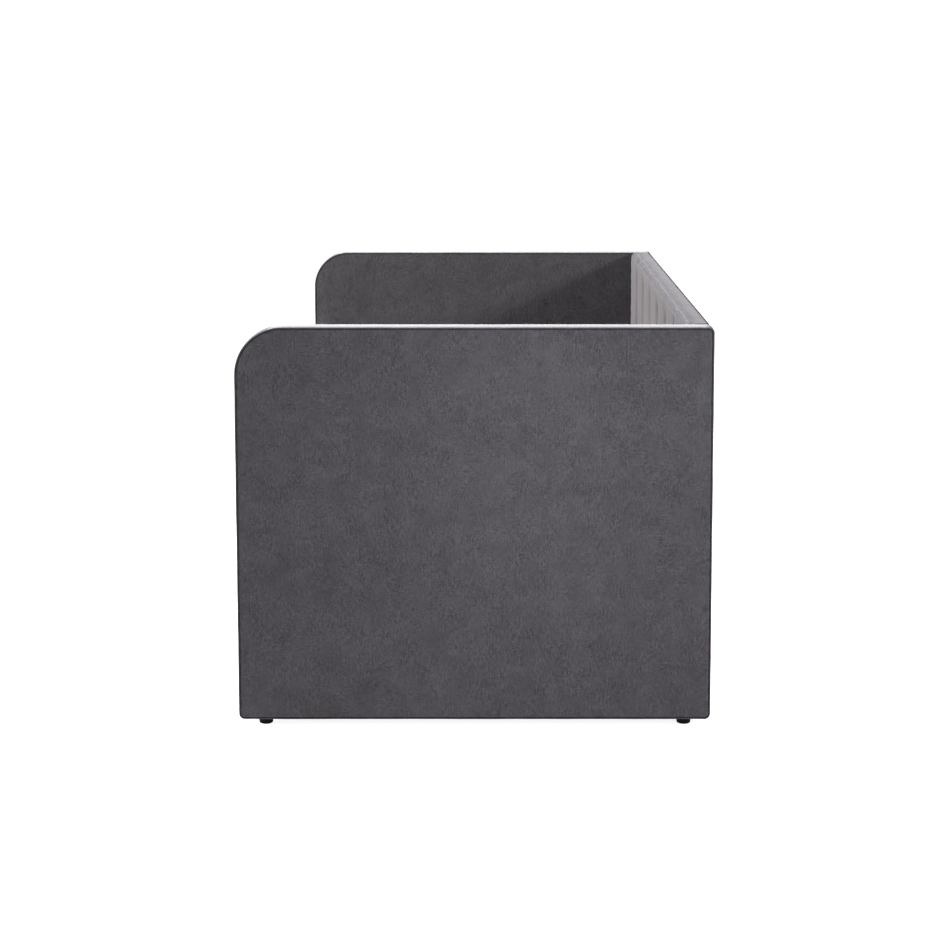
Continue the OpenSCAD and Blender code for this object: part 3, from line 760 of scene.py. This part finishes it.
class BackPath:
    """The back cushion's path in the Y-Z plane, up its face, round its top edge and back to the rear
    seam, and its channels across X."""

    def __init__(self):
        face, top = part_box("back_channel_pad"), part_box("back_top_band")
        self.x0, self.x1 = face[0].x, face[1].x
        self.y0, self.z0 = face[0].y, face[0].z
        self.y1, self.z1 = top[1].y, top[1].z
        self.back, self.under = face[1].y, top[0].z
        self.up = self.z1 - BACK_ROLL - self.z0
        self.arc = BACK_ROLL * math.pi / 2
        self.flat = self.y1 - BACK_REAR_ROLL - self.y0 - BACK_ROLL
        self.length = self.up + self.arc + self.flat
        self.wide = self.x1 - self.x0
        self.channel = self.wide / CHANNELS
        self.seam_end = self.z1 - SEAM_TOP - self.z0

    def place(self, s):
        """The point and outward normal at each distance along the path."""
        t = np.clip((s - self.up) / self.arc, 0, 1) * math.pi / 2
        y = self.y0 + BACK_ROLL * (1 - np.cos(t)) + np.maximum(s - self.up - self.arc, 0)
        z = self.z0 + np.minimum(s, self.up) + BACK_ROLL * np.sin(t)
        return y, z, -np.cos(t), np.sin(t)

    def seams(self, a, s):
        """1 along the channel seams, fading out into the channels and above the seams' upper ends,
        and the distance from the nearest seam. There is no seam at the bed's two ends."""
        near = np.abs((a / self.channel + 0.5) % 1 - 0.5) * self.channel
        inner = (a > self.channel * 0.5) & (a < self.wide - self.channel * 0.5)
        fade = smoothstep((self.seam_end + 0.022 - s) / 0.030)
        return np.exp(-(near / 0.030) ** 1.5) * fade * inner, near * np.where(inner, 1, 1e3)

    def columns(self):
        """Places across X, close together at every seam and at both ends."""
        seam = [0.0, 0.0009, 0.0021, 0.0038, 0.0062, 0.0098, 0.0150]
        places = []
        for i in range(CHANNELS):
            left = roll_steps(BACK_END_ROLL) if i == 0 else seam
            right = roll_steps(BACK_END_ROLL) if i == CHANNELS - 1 else seam
            room = self.channel - left[-1] - right[-1]
            count = round(room / 0.0085)
            middle = [left[-1] + room * k / count for k in range(1, count)]
            ends = [self.channel - e for e in reversed(right)]
            places += [i * self.channel + p for p in (*left, *middle, *ends[:-1])]
        return np.array([*places, self.wide])

    def rows(self):
        """Distances along the path, and the number of the row where the upper edge begins to turn."""
        low = roll_steps(BACK_LOW_ROLL)
        ups = np.linspace(low[-1], self.up, round(self.up / 0.0088))
        arcs = [self.up + self.arc * k / ARC_STEPS for k in range(1, ARC_STEPS + 1)]
        flats = [self.up + self.arc + self.flat * k / 5 for k in range(1, 6)]
        return np.array([*low[:-1], *ups, *arcs, *flats]), len(low) - 2 + len(ups)

    def rear(self):
        """The places that lead the cushion round the rear of its top and down behind it."""
        r = BACK_REAR_ROLL
        turn = [math.radians(t) for t in (25, 50, 75, 100, 125)]
        return [
            *[(self.y1 - r + r * math.sin(t), self.z1 - r + r * math.cos(t)) for t in turn],
            (self.y1 - 0.0012, self.under + 0.0002), (self.back, self.under + 0.0002),
            (self.back, (self.z0 + self.under) / 2), (self.back, self.z0 + 0.001),
        ]


def cushion_height(path, a, s):
    """How far the cushion stands off its path: swollen channels between creased seams that end in
    a dimple, with small pleats round it, and rolls at the cushion's edges."""
    panel = Panel((path.x0, 0, 0), (1, 0, 0), (0, 0, 1), (0, 1, 0), path.wide, path.length, (1e-5,) * 4)

    def start(a, b):
        return -CHANNEL_DEPTH * path.seams(a, b)[0]

    def held(a, b):
        sewn = (path.seams(a, b)[1] < 0.0035) & (b < path.seam_end)
        return sewn | (b > path.up + path.arc)

    field = cloth_swell(panel, 0.0, held, start, pressure=CHANNEL_PRESSURE, slack=CHANNEL_SLACK,
                        cap=CHANNEL_CROWN, step=path.channel / 22, seed=21)
    n = sampled(field, a, s, path.wide, path.length)
    near = path.seams(a, s)[1]
    crease = np.exp(-(near / 0.0024) ** 2) * smoothstep((path.seam_end - s) / 0.006)
    dimple = np.exp(-(near / 0.007) ** 2 - ((s - path.seam_end) / 0.008) ** 2)
    pleat = wobble(a, s, scale=0.03, seed=5) * np.exp(-near / 0.03 - np.abs(s - path.seam_end) / 0.04)
    n += 0.0005 * pleat + 0.0004 * wobble(a, s, scale=0.16, seed=9) - 0.0018 * crease - 0.0022 * dimple
    n *= 1 - 0.65 * smoothstep((s - path.up) / (path.arc * 2))
    return n - roll_drop(np.minimum(a, path.wide - a), BACK_END_ROLL) - roll_drop(s, BACK_LOW_ROLL)


def add_back_cushion(path):
    """The channelled front of the back: one padded piece up the face and over the top edge. Its sheen
    falls in steps round the upper edge, as painted shade, so that its tone stays even there under the
    lights."""
    lines, (steps, turn_row) = path.columns(), path.rows()
    a, s = np.meshgrid(lines, steps)
    n = cushion_height(path, a, s)
    y, z, ny, nz = path.place(s)
    verts = [*np.stack([path.x0 + a, y + ny * n, z + nz * n], -1).reshape(-1, 3)]
    verts += [(path.x0 + x, ty, tz) for ty, tz in path.rear() for x in lines]
    columns = len(lines)
    total = len(verts) // columns
    last = (total - 1) * columns
    faces = grid_faces(total, columns)
    faces += [(last + c, last + c + 1, c + 1, c) for c in range(columns - 1)]
    faces.append(tuple(r * columns for r in range(total)))
    faces.append(tuple(r * columns + columns - 1 for r in reversed(range(total))))
    piece = to_object("back_cushion", verts, faces, VELVET_BACK[0])
    for material in VELVET_BACK[1:]:
        piece.data.materials.append(material)
    # painted shade: copies with less sheen on the last rows of the upper edge and on the top
    top = len(VELVET_BACK) - 1
    for face in piece.data.polygons[:(total - 1) * (columns - 1)]:
        past_turn = face.index // (columns - 1) - turn_row - ARC_STEPS
        face.material_index = min(max(past_turn + top, 0), top)
    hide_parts("back_channel_pad", "back_top_band")


def add_rear_seam(path):
    """The sewn seam along the back's upper rear edge; its near-black thread is partly painted shade for
    the edge's groove.
    """
    start, run = path.x0 + 0.002, path.wide - 0.004
    y, z = path.y1 - 0.0022, path.z1 - 0.0004
    count = round(run / THREAD_STEP)
    verts = []
    for i in range(count + 1):
        r = twisted(0.0014, i * THREAD_STEP)
        verts += [(start + run * i / count, y + r * c, z + r * s) for c, s in circle(8)]
    to_object("back_rear_seam", verts, bar_faces(count + 1, 8), THREAD_AND_SEAM_SHADE)


def add_channel_stitching(path):
    """A run of stitches at the bottom of each channel seam: tapered bars that dip at their ends."""
    points, faces = [], []
    ends, thick = (0.000175, 0.0007), (0.0005, 0.0)
    bar = [(STITCH_LENGTH * share, *size)
           for share, size in ((-0.5, ends), (-0.3, thick), (0.3, thick), (0.5, ends))]
    bottom = path.y0 + CHANNEL_DEPTH + 0.0012
    for seam in range(1, CHANNELS):
        x = path.x0 + seam * path.channel
        for k in range(int((path.seam_end - 0.012) / STITCH_PITCH)):
            z = path.z0 + 0.010 + k * STITCH_PITCH
            faces += bar_faces(len(bar), 6, len(points))
            points += [(x + r * c, bottom + dip - r * s, z + along) for along, r, dip in bar
                       for c, s in circle(6)]
    to_object("back_channel_stitching", points, faces, THREAD_AND_SEAM_SHADE)


def add_back():
    path = BackPath()
    add_back_cushion(path)
    add_rear_seam(path)
    add_channel_stitching(path)
    rear = upright_panel("back_rear_cover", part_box("back_rear_cover")[1].y, 1, 0.002)
    face_pad("back_rear_face", rear, "back_rear_cover", COVER_GAP, seed=31, crown=0.0022, roll=0.0026)
    low = upright_panel("back_lower_pad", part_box("back_lower_pad")[0].y, -1, 0.002)
    face_pad("back_lower_face", low, "back_lower_pad", COVER_GAP, seed=33, crown=0.0015, roll=0.0035,
             held=lambda a, b: b > LOWER_PAD_FREE)


def add_rail_cover():
    """Foam and fabric wrapped round the front rail, tucked in against the arms at both ends."""
    lo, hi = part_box("front_rail_cover")
    end = Panel(lo, (0, 1, 0), (0, 0, 1), (1, 0, 0), hi.y - lo.y, hi.z - lo.z, (RAIL_R,) * 4)
    y, z, ny, nz = end.outline(0.009, turn_steps=8)[0].T
    bow = RAIL_BOW * np.sqrt(np.clip(1 - np.abs(2 * z / end.height - 1), 0, 1)) * np.abs(ny)
    xs = graded(hi.x - lo.x, roll_steps(RAIL_END_ROLL), 0.012)
    verts = []
    for x in xs:
        gap = min(x, xs[-1] - x)
        lift = bow * smoothstep(gap / 0.05) - roll_drop(gap, RAIL_END_ROLL)
        lift = lift + 0.0005 * wobble(x + z + lo.z, 2 * (y + lo.y), scale=0.09, seed=41)
        verts += [*end.at(y + ny * lift, z + nz * lift, x)]
    piece = to_object("front_rail_padding", verts, bar_faces(len(xs), len(y)), VELVET)
    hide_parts("front_rail_cover")


def add_trundle_front():
    """The trundle's padded front, sewn like an arm: a face, a thin lining and a strip round the edge."""
    node = "trundle_front_cover"
    cover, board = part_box(node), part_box("trundle_front_board")
    front, rear = cover[0].y, cover[1].y
    face = upright_panel(node, front, -1, TRUNDLE_R)
    face_pad("trundle_front_face", face, node, TRUNDLE_GAP, seed=51, body="trundle",
             depth=board[0].y - front)
    face_pad("trundle_front_lining", upright_panel(node, rear, 1, TRUNDLE_R), node, TRUNDLE_GAP,
             seed=53, body="trundle", crown=0.0002, depth=rear - board[1].y)
    seam_line("trundle_front_seam", face, "trundle")
    strip = upright_panel(node, rear, -1, TRUNDLE_R)
    edge_band("trundle_front_edge_strip", strip, node, rear - front, seed=55, body="trundle")


# ---------- slat webbing ----------

def slat_centres(node):
    """The X places of the slats, read from the CAD node's own corners."""
    centres = []
    for x in sorted(v.co.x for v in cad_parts[node].data.vertices):
        if not centres or x > centres[-1] + SLAT_W * 0.6:
            centres.append(x + SLAT_W / 2)
    return centres


def add_straps(node, slats, body, label):
    """Woven webbing under the slats, slack between them, with two staples at each slat."""
    lo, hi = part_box(node)
    top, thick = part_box(slats)[0].z, hi.z - lo.z
    centres = slat_centres(slats)
    half = SLAT_W / 2
    room = (centres[1] - centres[0]) / 2 - half
    xs = [lo.x, lo.x + 0.0015]
    xs += [c + half * f for c in centres for f in (-1, -0.5, 0, 0.5, 1)]
    xs += [c + half + (d - c - 2 * half) * f for c, d in zip(centres, centres[1:])
           for f in (0.12, 0.3, 0.5, 0.7, 0.88)]
    xs = sorted({round(x, 5) for x in xs if lo.x <= x <= hi.x} | {hi.x})
    section = [(k, 0.35 if abs(k) == 1 else 0.0) for k in (-1, -0.92, -0.45, 0, 0.45, 0.92, 1)]
    section += [(k, 1 - deep) for k, deep in reversed(section)]
    for end, middle in (("front", lo.y + STRAP_W / 2), ("rear", hi.y - STRAP_W / 2)):
        verts = []
        for x in xs:
            gap = max(0.0, min(abs(x - c) for c in centres) - half)
            face = top - STRAP_SAG * math.sin(min(1.0, gap / room) * math.pi / 2)
            verts += [(x, middle + k * STRAP_W / 2, face - thick * deep) for k, deep in section]
        faces = bar_faces(len(xs), len(section))
        piece = to_object(f"{label}_webbing_{end}", verts, faces, WEBBING, body)
        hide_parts(node)
        add_staples(f"{label}_staples_{end}", centres, middle, top - thick, body)


def add_staples(name, centres, y, z, body):
    """Steel staples through the webbing into each slat: a flat crown with two turned legs."""
    half = STAPLE_W / 2
    route = [(-half, 0.0006), (-half, -WIRE), (0.0012 - half, -2 * WIRE),
             (half - 0.0012, -2 * WIRE), (half, -WIRE), (half, 0.0006)]
    verts, faces = [], []
    for x in (c + side for c in centres for side in (-0.016, 0.016)):
        faces += bar_faces(len(route), 6, len(verts))
        verts += [(x + WIRE * c, y + dy, z + dz + WIRE * s) for dy, dz in route for c, s in circle(6)]
    to_object(name, verts, faces, ZINC, body)


# ---------- CAD nodes ----------

def dress_cad_nodes():
    """Gives each CAD node its material, by the first of these words that its name holds."""
    across, along = pine("pine_across", 1, 0.149), pine("pine_along", 0, 0.31)
    black = plastic("foot_plastic", (0.0015, 0.0015, 0.0015), (0.0075, 0.0075, 0.008), 0.6, 0.1)
    grey = plastic("castor_plastic", (0.018, 0.018, 0.02), (0.06, 0.06, 0.064), 0.42)
    looks = (
        (("slats", "trundle_side", "arm_frame"), across),
        (("boards",), hardboard()),
        (("corner_blocks",), pine("pine_blocks", 0, 0.09)),
        (("screws", "bolts", "bracket", "axles"), ZINC),
        (("foot_",), black),
        (("castor_wheel",), grey),
        (("cover", "pad", "band", "straps"), VELVET),
        (("ledger", "frame", "rail", "board"), along),
    )
    for name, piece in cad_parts.items():
        material = next(look for words, look in looks if any(word in name for word in words))
        piece.data.materials.clear()
        piece.data.materials.append(material)


# ---------- the whole object ----------

def add_floor():
    mesh = bpy.data.meshes.new("floor")
    reach = 30
    mesh.from_pydata([(-reach, -reach, 0), (reach, -reach, 0), (reach, reach, 0), (-reach, reach, 0)],
                     [], [(0, 1, 2, 3)])
    mesh.materials.append(floor_paint())
    floor = bpy.data.objects.new("floor", mesh)
    bpy.context.scene.collection.objects.link(floor)


add_world()
add_lights()
add_floor()
dress_cad_nodes()
add_arm("left", seed=3)
add_arm("right", seed=13)
add_back()
add_rail_cover()
add_trundle_front()
add_straps("bed_slat_straps", "bed_slats", "daybed", "bed")
add_straps("trundle_slat_straps", "trundle_slats", "trundle", "trundle")
